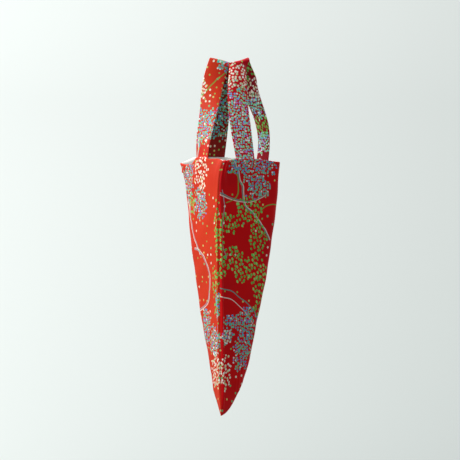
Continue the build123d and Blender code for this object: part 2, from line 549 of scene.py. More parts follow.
def with_twin(line: Stroke | Arc) -> list[tuple[float, tuple[float, float], Colour]]:
    """A line and its twin, where it has one: shift in metres, how its edge fades, and colour."""
    lines = [(0.0, LINE_FADE, line.colour), (line.twin * MM, TWIN_FADE, PALE_LINE)]
    return lines if line.twin else lines[:1]


@dataclass(frozen=True)
class DotLayer:
    """A layer of dots: how they lie, how large they are, their colours and how many show.

    A dot's radius is radius + spread * chance, in mm. It is stretch times as long as wide, with
    its long side at slant from straight down, and loose is how far dots stray from rows. Shown is
    the share of dots that are there; thin_edge is that share at a patch's edge, where it is lower.
    A patch's edge strays by up to rag / 2 of its reach, in waves of rag_size.
    """

    family: Dots | None
    pitch: float
    colours: Stops
    stretch: float
    loose: float
    radius: float
    spread: float
    slant: float = 0.0
    shown: float = 1.0
    thin_edge: float = 1.0
    rag_size: float = 10 * MM
    rag: float = 0.9
    size_by_tint: bool = False


LONE_DOTS = DotLayer(
    family=None,
    pitch=9.5 * MM,
    colours=(
        (0.0, srgb(150, 205, 96)),
        (0.4, srgb(214, 226, 130)),
        (0.7, srgb(250, 240, 214)),
        (0.9, srgb(120, 200, 130)),
    ),
    stretch=1.15,
    loose=0.9,
    radius=1.0,
    spread=0.5,
    size_by_tint=True,
)
LEAF_DOTS = DotLayer(
    family=Dots.LEAF,
    pitch=4.1 * MM,
    colours=((0.0, srgb(84, 200, 84)), (0.45, srgb(108, 214, 98)), (0.8, srgb(152, 230, 118))),
    stretch=1.5,
    loose=0.8,
    radius=1.1,
    spread=0.42,
    slant=0.35,
    rag_size=13 * MM,
    rag=1.2,
    size_by_tint=True,
)
COOL_DOTS = DotLayer(
    family=Dots.COOL,
    pitch=3.35 * MM,
    colours=SOFT_COOL,
    stretch=1.0,
    loose=0.8,
    radius=1.14,
    spread=0.38,
    thin_edge=0.45,
)
CREAM_DOTS = DotLayer(
    family=Dots.CREAM,
    pitch=4.0 * MM,
    colours=(
        (0.0, srgb(252, 248, 230)),
        (0.5, srgb(244, 232, 200)),
        (0.8, srgb(220, 236, 176)),
        (0.9, srgb(255, 253, 246)),
    ),
    stretch=1.2,
    loose=0.75,
    radius=1.15,
    spread=0.42,
    slant=-0.3,
    shown=0.95,
    rag_size=11 * MM,
)


@dataclass(frozen=True)
class PrintedCloth:
    """Smooth red cotton with a print of small dots in patches and thin wandering lines.

    On a strap the inner face, from inner_from across on, is darker: deep_red times a shade factor,
    a painted shade for the shadow that the other legs cast on it.
    """

    name: str
    patches: tuple[Patch, ...]
    strokes: tuple[Stroke, ...] = ()
    arcs: tuple[Arc, ...] = ()
    # The default reds are the deep crimson of the shaded right side: painted shade. The left pieces
    # get orange-red lit copies: painted light.
    red: Colour = srgb(226, 5, 10)
    deep_red: Colour = srgb(212, 4, 18)
    lone_pitch: float = LONE_DOTS.pitch
    lone_share: float = 0.3
    cool: Stops = SOFT_COOL
    inner_from: float = 0.0
    # Factor that darkens the strap's inner face: painted shade.
    inner_painted_shade: float = 0.55
    thread_pitch: float = 0.42 * MM
    cloud_size: float = 60 * MM
    crease_size: float = 7 * MM
    crumple_size: float = 1.6 * MM

    def layers(self) -> list[DotLayer]:
        """The layers of dots from the lowest up, without those whose family has no patch."""
        families = {patch.dots for patch in self.patches} | {None}
        lone = replace(LONE_DOTS, pitch=self.lone_pitch, shown=self.lone_share)
        layers = (lone, LEAF_DOTS, replace(COOL_DOTS, colours=self.cool), CREAM_DOTS)
        return [layer for layer in layers if layer.family in families]

    @staticmethod
    def dots(net: Net, where: Field, layer: DotLayer) -> tuple[Field, Field, Field]:
        """A field of whole dots, worked out on the cloth turned by the layer's slant.

        Args:
            net: The material's tree.
            where: Place on the cloth, in metres.
            layer: The layer of dots.

        Returns:
            Distance from the nearest dot's middle in metres, that middle's place on the cloth,
            and a colour that is random for each dot.
        """
        wide, long = layer.pitch, layer.pitch * layer.stretch
        turned = net.turn(where, layer.slant) if layer.slant else where
        scaled = net.vector("MULTIPLY", turned, (1 / wide, 1 / long, 0.0))
        cells = net.node(
            "TexVoronoi",
            {"voronoi_dimensions": "2D", "feature": "F1"},
            {"Vector": scaled, "Scale": 1.0, "Randomness": layer.loose},
        )
        distance, place, chance = (
            Field(net, cells.outputs[name]) for name in ("Distance", "Position", "Color")
        )
        middle = net.vector("MULTIPLY", place, (wide, long, 0.0))
        middle = net.turn(middle, -layer.slant) if layer.slant else middle
        return distance * wide, middle, chance

    def zone(self, net: Net, family: Dots, middle: Field) -> Field:
        """How far inside the patches of a family a dot's middle is; more than 0 is inside.

        Each patch gives 1 less the length of (middle - centre) / reach, and the greatest counts.

        Args:
            net: The material's tree.
            family: The family, which has at least one patch.
            middle: The dot's middle, in metres on the cloth.

        Returns:
            1 in the middle of a patch, 0 on its edge.
        """
        found = []
        for patch in (patch for patch in self.patches if patch.dots is family):
            centre = (patch.across * MM, patch.down * MM, 0.0)
            inverse = (1 / (patch.reach_across * MM), 1 / (patch.reach_down * MM), 0.0)
            away = net.vector("MULTIPLY", net.vector("SUBTRACT", middle, centre), inverse)
            found.append(1.0 - net.vector("LENGTH", away, out=1))
        return reduce(Field.top, found)

    def lay(self, net: Net, where: Field, colour: Field, layer: DotLayer) -> Field:
        """Lays a layer of dots over a colour; each dot is there whole or not at all.

        Args:
            net: The material's tree.
            where: Place on the cloth, in metres.
            colour: The colour below.
            layer: The layer of dots.

        Returns:
            The colour with the dots on it.
        """
        distance, middle, chance = self.dots(net, where, layer)
        pick, tint, other = net.parts(chance)
        size = tint if layer.size_by_tint else other
        cover = distance < (layer.radius + layer.spread * size) * MM
        shown: Field | float = layer.shown
        if layer.family:
            ragged = (net.noise(middle, layer.rag_size, 1.0) - 0.5) * layer.rag
            inside = self.zone(net, layer.family, middle) + ragged
            cover = cover * (inside > 0.0)
            if layer.thin_edge < layer.shown:
                near = (inside * 3.0).low(1.0)
                shown = layer.thin_edge + near * (layer.shown - layer.thin_edge)
        tone = net.read("ValToRGB", {"stops": layer.colours}, {0: tint})
        return net.mix(cover * (pick < shown), colour, tone)

    def lines(self, net: Net, where: Field, colour: Field) -> Field:
        """Lays the wandering lines and the arcs over a colour.

        A line covers a point when |across - line(down)| * cos(slope) is less than half its width,
        an arc when the distance from its middle is that near its radius.

        Args:
            net: The material's tree.
            where: Place on the cloth, in metres.
            colour: The colour below.

        Returns:
            The colour with the lines on it.
        """
        across, down, _ = net.parts(where)
        wander = (net.noise(where, 45 * MM) - 0.5) * (16 * MM)
        for stroke in self.strokes:
            angle = down * (1 / (stroke.wave * MM)) + stroke.phase
            swing = angle.sine() * (stroke.sway * MM)
            middle = swing + down * stroke.lean + stroke.start * MM + wander
            slope = angle.cosine() * (stroke.sway / stroke.wave) + stroke.lean
            straight = 1.0 / (slope * slope + 1.0).root()
            window = (down > stroke.first * MM) * (down < stroke.last * MM)
            for shift, fade, tint in with_twin(stroke):
                gap = (across - middle - shift).size() * straight
                colour = net.mix(gap.fade(*fade) * window, colour, tint)
        drift = net.noise(where, 38 * MM, 1.0, out="Color")
        drift = net.vector("SUBTRACT", drift, (0.5, 0.5, 0.5))
        drift = net.vector("MULTIPLY", drift, (12 * MM, 12 * MM, 0.0))
        bent = net.vector("ADD", where, drift)
        for arc in self.arcs:
            reach = net.vector("DISTANCE", bent, (arc.across * MM, arc.down * MM, 0.0), out=1)
            left, top, right, bottom = (edge * MM for edge in arc.box)
            window = (across > left) * (across < right) * (down > top) * (down < bottom)
            for shift, fade, tint in with_twin(arc):
                gap = (reach - (arc.radius * MM + shift)).size()
                colour = net.mix(gap.fade(*fade) * window, colour, tint)
        return colour

    def material(self) -> bpy.types.Material:
        """Builds the finish: red ground, lines and layers of dots over a weave."""
        net = Net(self.name)
        where = net.read("UVMap", {"uv_map": "cloth"}, {})
        cloud = net.noise(where, self.cloud_size, 3.0)
        colour = net.mix(cloud.fade(0.3, 0.7), self.red, self.deep_red)
        # Painted shade: past inner_from across, the strap's inner face is darkened to deep_red
        # times a factor, for the shadow of the other legs.
        if self.inner_from:
            inner = net.parts(where)[0] > self.inner_from
            tone = tuple(c * self.inner_painted_shade for c in self.deep_red[:3])
            colour = net.mix(inner, colour, (*tone, 1.0))
        colour = self.lines(net, where, colour)
        for layer in self.layers():
            colour = self.lay(net, where, colour, layer)
        weave = net.weave(where, self.thread_pitch)
        height = weave * 0.03 + net.noise(where, self.crease_size, 3.0) * 0.6
        height = height + net.noise(where, self.crumple_size, 2.0) * 0.12
        roughness = 0.52 + (cloud - 0.5) * 0.16 + weave * 0.03
        constants = {
            "Specular IOR Level": 0.12,
            "Sheen Weight": 0.12,
            "Sheen Roughness": 0.35,
            "Sheen Tint": (1.0, 0.72, 0.55, 1.0),
        }
        return net.finish(colour, roughness, height, (0.55, 0.35 * MM), constants)


@dataclass(frozen=True)
class LiningCloth:
    """Plain off-white lining with a fine weave and faint creases."""

    name: str = "lining_cloth"
    light: Colour = srgb(246, 245, 240)
    shade: Colour = srgb(234, 231, 223)
    thread_pitch: float = 0.5 * MM
    cloud_size: float = 35 * MM
    crease_size: float = 9 * MM

    def material(self) -> bpy.types.Material:
        """Builds the finish."""
        net = Net(self.name)
        where = net.read("UVMap", {"uv_map": "cloth"}, {})
        cloud = net.noise(where, self.cloud_size, 3.0)
        weave = net.weave(where, self.thread_pitch)
        colour = net.mix(cloud.fade(0.3, 0.72) * 0.8 + weave * 0.06, self.light, self.shade)
        height = net.noise(where, self.crease_size, 3.0) * 0.7 + weave * 0.05
        roughness = 0.74 + (cloud - 0.5) * 0.2
        constants = {"Specular IOR Level": 0.3, "Sheen Weight": 0.15}
        return net.finish(colour, roughness, height, (0.6, 0.5 * MM), constants)


@dataclass(frozen=True)
class Thread:
    """Twisted sewing thread with a slight lustre."""

    name: str = "red_thread"
    light: Colour = srgb(214, 44, 32)
    shade: Colour = srgb(158, 16, 16)
    twist_pitch: float = 0.45 * MM

    def material(self) -> bpy.types.Material:
        """Builds the finish: a slanting twist along x, y and z together."""
        net = Net(self.name)
        x, y, z = net.parts(net.read("TexCoord", {}, {}, "Object"))
        twist = ((x + y + z * 1.7) * (2 * PI / self.twist_pitch)).sine() * 0.5 + 0.5
        colour = net.mix(twist, self.light, self.shade)
        roughness = 0.42 + twist * 0.15
        return net.finish(colour, roughness, twist, (0.5, 0.08 * MM), {"Sheen Weight": 0.1})


@dataclass(frozen=True)
class PalePaint:
    """The studio's plain pale paint, with painted shade: it is darker low down on one side and on
    the floor's middle.
    """

    name: str = "pale_paint"
    light: Colour = srgb(231, 236, 232)
    shade: Colour = srgb(218, 224, 220)
    # Darker colour of the floor's middle: painted shade.
    floor: Colour = srgb(172, 177, 174)
    floor_top: float = -0.9
    grain: float = 4 * MM

    def material(self) -> bpy.types.Material:
        """Builds the finish."""
        net = Net(self.name)
        where = net.read("TexCoord", {}, {}, "Object")
        x, y, z = net.parts(where)
        # Painted shade: the wall darkens towards the low right.
        colour = net.mix((x * 0.5 - z).fade(-0.9, 1.3), self.light, self.shade)
        # Painted shade: the floor's middle is darkened.
        middle = (x * x + y * y).root().fade(2.5, 1.3) * (z < self.floor_top)
        colour = net.mix(middle, colour, self.floor)
        roughness = 0.85 + (net.noise(where, 0.5, 2.0, "3D") - 0.5) * 0.1
        height = net.noise(where, self.grain, 2.0, "3D")
        return net.finish(colour, roughness, height, (0.1, 0.5 * MM), {"Specular IOR Level": 0.2})


# ------------------------------------------------------------------ the bag's body


@dataclass
class BagBody:
    """The bag's two mirrored panels with their linings, sewn at the spine and the belly seam.

    A place on the outside is given by along, from -1 at the spine seam through 0 at the fold to 1
    at the belly seam, and by share, from 0 at the rim to 1 at the tip.
    """

    rim: float
    tip: float
    seam_half: float = 68 * MM
    fold_half: float = 76 * MM
    turn: float = np.radians(16.0)
    lean: float = 16 * MM
    taper: float = 0.42
    rounding: float = 8.0
    fold_power: float = 0.61
    roll_width: float = 3.0 * MM
    roll_height: float = 1.3 * MM
    turned_in: float = 12 * MM
    cloth: float = 0.6 * MM
    lining_inset: float = 3.3 * MM
    lining_cloth: float = 0.5 * MM
    front_leg: float = 43 * MM
    back_leg: float = 49 * MM
    wall: float = 100 * MM
    stitch_depth: float = 4.2 * MM
    seam_stitch_inset: float = 0.15 * MM
    tail_room: float = 3.4 * MM
    corner_room: float = 2.0 * MM
    lift_depth: float = 28 * MM
    spine_shift: float = 8.0 * MM
    spine_shift_depth: float = 19 * MM
    edge: dict[Side, tuple[np.ndarray, np.ndarray]] = field(default_factory=dict)

    @property
    def height(self) -> float:
        """From the rim to the tip."""
        return self.rim - self.tip

    def to_world(self, x: np.ndarray, y: np.ndarray, z: np.ndarray) -> np.ndarray:
        """Points from the bag's own x (across the seam plane) and y (to the belly) to the frame."""
        cos, sin = np.cos(self.turn), np.sin(self.turn)
        return np.stack([x * cos + y * sin, -x * sin + y * cos, z], axis=-1)

    def rim_lift(self, side: Side, along: np.ndarray) -> np.ndarray:
        """How far the rim is pulled up by the legs of the handles or sags between them.

        A leg lifts the rim with a plateau between two smooth steps. On the left the front rises in
        two steps from the spine, drops past the leg, and rises again towards the fold.

        Args:
            side: Which panel.
            along: From -1 at the spine seam to 1 at the belly seam.

        Returns:
            Heights above the level rim, (columns,).
        """
        from_spine = (along + 1) * self.wall
        from_belly = (1 - along) * self.wall
        if side is Side.LEFT:
            steps = ((3.6, 0.0, 0.013), (3.2, 0.022, 0.034), (-8.4, 0.053, 0.07), (2.8, 0.082, 0.1))
            front = sum(rise * MM * ease(from_spine, start, end) for rise, start, end in steps)
            back = 7.6 * MM * (ease(from_belly, 0.0, 0.03) - ease(from_belly, 0.074, 0.1))
            return np.where(along < 0, front - 1.9 * MM, back - 0.7 * MM)
        front = 3.4 * MM * (ease(from_spine, 0.004, 0.034) - ease(from_spine, 0.056, 0.098))
        back = 2.6 * MM * (ease(from_belly, 0.0, 0.03) - ease(from_belly, 0.07, 0.1))
        return front + back - 1.3 * MM

    def relief(self, side: Side, run: np.ndarray, end: np.ndarray, depth: np.ndarray) -> np.ndarray:
        """How far the cloth stands out of its smooth form: the sum of the four kinds below.

        Args:
            side: Which panel.
            run: Distance from the spine seam along the cloth.
            end: Distance from the belly seam along the cloth.
            depth: Below the rim.

        Returns:
            Heights along the outward normal.
        """
        return (
            self.ridges(side, run, end, depth)
            + self.pulls(side, run, end, depth)
            + self.pleat(side, run, depth)
            + self.waves(side, run, end, depth)
        )

    @staticmethod
    def ridges(side: Side, run: np.ndarray, end: np.ndarray, depth: np.ndarray) -> np.ndarray:
        """A ridge beside each seam, over the turned allowance; the spine's grows with depth."""
        share = 1.0 if side is Side.RIGHT else 0.45
        grown = (0.5 + 2.4 * ease(depth, 0.03, 0.1)) * MM
        spine = grown * bell(run, 3.0 * MM, 1.5 * MM) * share
        return spine + 0.5 * MM * bell(end, 3.6 * MM, 1.8 * MM)

    def pulls(self, side: Side, run: np.ndarray, end: np.ndarray, depth: np.ndarray) -> np.ndarray:
        """Tension below the legs: a swell that widens downwards and fine folds that fan out.

        The fan is sin(folds * distance from the leg / (depth + 30 mm)) under two bell curves.
        """
        slant = 0.1 if side is Side.RIGHT else 0.16
        spread = 0.016 + 0.2 * depth
        swell = bell(run, self.front_leg + slant * depth, spread)
        swell = swell + bell(end, self.back_leg - 0.1 * depth, spread)
        height = 1.6 * MM * swell * np.exp(-depth / 0.05)
        for way, leg, folds, fan_height, middle, reach in (
            (run, self.front_leg, 7.0, 0.8 * MM, 0.02, 0.022),
            (end, self.back_leg, 6.0, 0.4 * MM, 0.022, 0.02),
        ):
            fan = np.sin((way - leg) / (depth + 0.03) * folds) * bell(way, leg, 0.034)
            height = height + fan_height * fan * bell(depth, middle, reach)
        return height

    @staticmethod
    def pleat(side: Side, run: np.ndarray, depth: np.ndarray) -> np.ndarray:
        """The pleat beside the spine's top; the right one is sharp, with a hollow beyond it."""
        if side is Side.LEFT:
            crest = bell(run - (5.0 * MM + 0.12 * depth), 0.0, 3.0 * MM)
            return 0.9 * MM * crest * ease(depth, 0.04, 0.0)
        way = run - (7.0 * MM + 0.02 * depth)
        crest = 2.6 * MM * bell(way, 0.0, 1.7 * MM) * ease(depth, 0.042, 0.0)
        return crest - 1.6 * MM * bell(way, 6.5 * MM, 4.0 * MM) * ease(depth, 0.06, 0.006)

    @staticmethod
    def waves(side: Side, run: np.ndarray, end: np.ndarray, depth: np.ndarray) -> np.ndarray:
        """Soft bulges, slack near the tip and fine streaks; the left's belly corner flares out."""
        bulge = 1.3 * MM * np.sin(depth * 26.0 + 0.6 + side.value) * np.sin(run * 44.0 + 0.5)
        bulge += 0.55 * MM * np.sin(depth * 61.0 + run * 35.0 + 1.4 * side.value)
        bulge += 0.22 * MM * np.sin(depth * 140.0 - run * 120.0 + 0.7 * side.value)
        bulge += 0.5 * MM * np.sin(run * 150.0 + depth * 90.0) * bell(depth, 0.318, 0.02)
        near = bell(depth, 0.285, 0.03) * bell(run, 0.034, 0.011)
        far = bell(depth, 0.27, 0.035) * bell(end, 0.03, 0.012)
        streak = 0.3 * MM * np.sin(run / (0.85 * MM) + 9 * depth) * near
        streak += 0.28 * MM * np.sin(end / (0.9 * MM) - 8 * depth) * far
        if side is Side.LEFT:
            streak += 4.5 * MM * bell(end, 0.086, 0.018) * np.exp(-depth / 0.006)
        return np.clip(np.minimum(run, end) / 0.03, 0, 1) * bulge + streak

    def wall_points(self, side: Side, along: np.ndarray, share: np.ndarray) -> np.ndarray:
        """The smooth outside of a panel.

        Across the seam plane it is fold_half(share) times (sqrt(1 + e^2) - sqrt(along^2 + e^2))
        over sqrt(1 + e^2), a wedge whose fold is rounded by e, times 1 + 0.2 s + 0.1 s^3, which
        fills it out towards the tip. The seam's edge turns in by a narrow bell curve of the
        distance from it.

        Args:
            side: Which panel.
            along: Array (columns,) from -1 to 1.
            share: Array (rows,) from 0 to 1.

        Returns:
            Array (rows, columns, 3).
        """
        s, a = share[:, None], along[None]
        seam = self.seam_half * (1 - self.taper * s)
        seam = seam * np.sqrt(np.clip(1 - s**self.rounding, 0, 1))
        fold = self.fold_half * np.clip(1 - s, 0, 1) ** self.fold_power
        e = 0.075 + 0.2 * s**1.5
        far = np.sqrt(1 + e**2)
        wedge = fold * (far - np.sqrt(a**2 + e**2)) / far * (1 + 0.2 * s + 0.1 * s**3)
        middle = -self.seam_half + self.lean * s + seam
        slant = np.hypot(seam, fold) + 1e-9
        turned = bell((1 + a) * slant, 0.0, 1.7 * MM) - bell((1 - a) * slant, 0.0, 1.7 * MM)
        inward = 1.9 * MM * turned * ease(s, 1.0, 0.97)
        z = self.rim - self.height * s + 0 * a
        return self.to_world(side.value * wedge, middle + seam * a + inward, z)

    def panel_grid(
        self, side: Side, inset: float, last: float, rows: int
    ) -> tuple[np.ndarray, np.ndarray, np.ndarray]:
        """A panel's skin with all its relief, or a cloth that lies inset inside it.

        The top of the spine leans right by spine_shift * exp(-depth / spine_shift_depth). Near
        the rim a lining lies further in, where the tails and the pleat need room.

        Args:
            side: Which panel.
            inset: Inside the outer skin; the relief fades for the lining.
            last: Share of the height at the lowest row.
            rows: Number of rows.

        Returns:
            Points (rows, columns, 3), their unit outward normals, and UVs in metres.
        """
        even = np.linspace(-1, 1, 181)
        along = even - 0.62 * np.sin(2 * PI * even) / (2 * PI)
        along = np.sign(along) * (1 - (1 - np.abs(along)) ** 1.25) if inset == 0 else along
        share = last * (1 - (1 - np.linspace(0, 1, rows)) ** 1.35)
        smooth = self.wall_points(side, along, np.minimum(share, 0.9995))
        run = run_length(smooth, 1)
        end = run[:, -1:] - run
        depth = (share * self.height)[:, None] + 0 * run
        out = grid_normals(smooth) * side.value
        keep = 1.0 if inset == 0 else 0.45 + 0.55 * ease(depth, 0.03, 0.014)
        fade = ease(share, 1.0, 0.9)[:, None] * ease(np.minimum(run, end), -0.0005, 0.0016)
        room = inset * ease(share, 1.02, 0.78)[:, None]
        if inset:
            tails = ease(np.abs(run - self.front_leg), 0.024, 0.016)
            tails = tails + ease(np.abs(end - self.back_leg), 0.024, 0.016)
            corner = ease(run, 0.024, 0.01) * self.corner_room
            room = room + (self.tail_room * tails + corner) * ease(depth, 0.03, 0.013)
        points = smooth + out * (keep * self.relief(side, run, end, depth) * fade - room)[..., None]
        points[..., 2] += self.rim_lift(side, along) * np.exp(-depth / self.lift_depth)
        shift = self.spine_shift * np.exp(-depth / self.spine_shift_depth)
        points[..., 0] += shift * ease(run, 0.027, 0.0)
        uv = np.stack([run_length(points, 1), depth], axis=-1)
        return points, grid_normals(points) * side.value, uv

    def panel(self, side: Side) -> bpy.types.Object:
        """A printed panel: up the outside, over the rim in a half-round, and turned in.

        The roll over the rim is a half ellipse, roll_width across and roll_height high, in the
        plane of up and the inward normal.
        """
        points, out, uv = self.panel_grid(side, 0.0, 1.0, 230)
        level = unit(out[0] * (1 - UP))
        half = self.roll_width / 2
        points[0, :, 2] -= self.roll_height
        points[1:, :, 2] -= self.roll_height * np.exp(-uv[1:, :, 1] / 0.01)
        turn = np.linspace(0, PI, 9)[1:]
        roll = points[0] - level * (half * (1 - np.cos(turn)))[:, None, None]
        roll = roll + UP * (self.roll_height * np.sin(turn))[:, None, None]
        drop = np.linspace(0, self.turned_in, 5)[1:]
        inside = roll[-1] - UP * drop[:, None, None]
        grid = np.concatenate([inside[::-1], roll[::-1], points])
        back = -np.concatenate([drop[::-1] + half * PI, turn[::-1] * half])
        extra = np.stack(np.broadcast_arrays(uv[0, :, 0][None], back[:, None]), axis=-1)
        uv = np.concatenate([extra, uv])
        piece = make_grid(f"{side.word}_panel_cloth", grid, uv, flip=side is Side.LEFT)
        self.thicken(piece, self.cloth)
        self.edge[side] = (points, out)
        return piece

    def lining(self, side: Side) -> bpy.types.Object:
        """A lining panel, looser than the skin, from just above the rim's roll to its own tip."""
        points, out, uv = self.panel_grid(side, self.lining_inset, 0.955, 120)
        half = points.shape[1] // 2
        proud = np.full(points.shape[1], 0.1 * MM)
        if side is Side.LEFT:
            proud[:half] = -0.9 * MM
            proud[half:] = 0.8 * MM
        run, depth = uv[..., 0], uv[..., 1]
        points[..., 2] += proud * np.exp(-depth / 0.012)
        sag = 0.7 * MM * np.sin(run * 150 + depth * 40) * ease(depth, 0.01, 0.06)
        points -= out * (sag + 0.4 * MM * ease(depth, 0.0, 0.05))[..., None]
        piece = make_grid(f"{side.word}_lining_cloth", points, uv, flip=side is Side.LEFT)
        self.thicken(piece, self.lining_cloth)
        return piece

    @staticmethod
    def thicken(piece: bpy.types.Object, thickness: float) -> None:
        """Gives a sheet its thickness on its inner side."""
        solid = piece.modifiers.new("cloth_thickness", "SOLIDIFY")
        solid.thickness = thickness
        solid.offset = -1.0
        solid.use_even_offset = False

    def mouth_stitches(self) -> bpy.types.Object:
        """The row of stitches round the mouth, just under the rim on both panels."""
        rows = []
        for side in Side:
            points, out = self.edge[side]
            at_fold = points[:, points.shape[1] // 2, 2]
            row = int(np.searchsorted(at_fold[0] - at_fold, self.stitch_depth))
            rows.append(stitch_row(points[row], out[row], MOUTH_STITCH))
        return make_stitches("mouth_stitches", rows)

    def seam_stitches(self, name: str, column: int) -> bpy.types.Object:
        """Stitches down in a seam's groove, between the two panels' edges."""
        left, right = self.edge[Side.LEFT], self.edge[Side.RIGHT]
        path = (left[0][:, column] + right[0][:, column])[:-8] / 2
        out = unit(left[1][:, column] + right[1][:, column])[:-8]
        path = path - out * self.seam_stitch_inset
        return make_stitches(name, [stitch_row(path, out, SEAM_STITCH)])

    def build(
        self,
        print_left: PrintedCloth,
        print_right: PrintedCloth,
        lining: LiningCloth,
        thread: Thread,
    ) -> None:
        """Builds and dresses every piece of the body.

        Args:
            print_left: The left panel's finish.
            print_right: The right panel's finish.
            lining: The lining's finish.
            thread: The stitches' finish.
        """
        inner, red = lining.material(), thread.material()
        for side, cloth in ((Side.LEFT, print_left), (Side.RIGHT, print_right)):
            word = side.word
            panel = self.panel(side)
            dress(panel, cloth.material(), "bag")
            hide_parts(f"{word}_panel", f"{word}_interlining")
            liner = self.lining(side)
            dress(liner, inner, "bag")
            hidden = "spine" if side is Side.LEFT else "belly"
            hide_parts(f"{word}_lining", f"lining_{hidden}_seam_thread")
        mouth = self.mouth_stitches()
        dress(mouth, red, "bag")
        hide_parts("mouth_topstitching")
        for word, column in (("spine", 0), ("belly", -1)):
            seam = self.seam_stitches(f"{word}_seam_stitches", column)
            dress(seam, red, "bag")
            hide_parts(f"{word}_seam_thread")


def dress(
    piece: bpy.types.Object, material: bpy.types.Material, body: str | None
) -> None:
    """Gives a piece its finish and its body, and reports it.

    Args:
        piece: The finished piece.
        material: Its finish.
        body: The body that it rides on, or None, which leaves it on no body.
    """
    piece.data.materials.append(material)
    if body is not None:
        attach(piece, body)
    LOG.info("%s: %d faces on %s", piece.name, len(piece.data.polygons), body or "two bodies")


# ------------------------------------------------------------------ the handles


@dataclass(frozen=True)
class Leg:
    """One leg of a handle: where it leaves the rim and how it hangs.

    base is the middle of the strap at the rim. Its middle goes evenly from there to the crown,
    and sways sideways by sway[0] sin(pi q) + sway[1] sin(2 pi q) + sway[2] sin(3 pi q), where q is
    the share of its height; bow is how far its middle stands outwards. The strap turns from yaw
    to the crown's turn as q ** ease_power, with swing more half way up. crown_shift moves its end
    along the wire, and cup is the half angle of its cupping at the crown.
    """

    base: tuple[float, float]
    yaw: float
    sway: tuple[float, float, float]
    bow: float
    ease_power: float
    crown_shift: float
    cup: float
    swing: float = 0.0


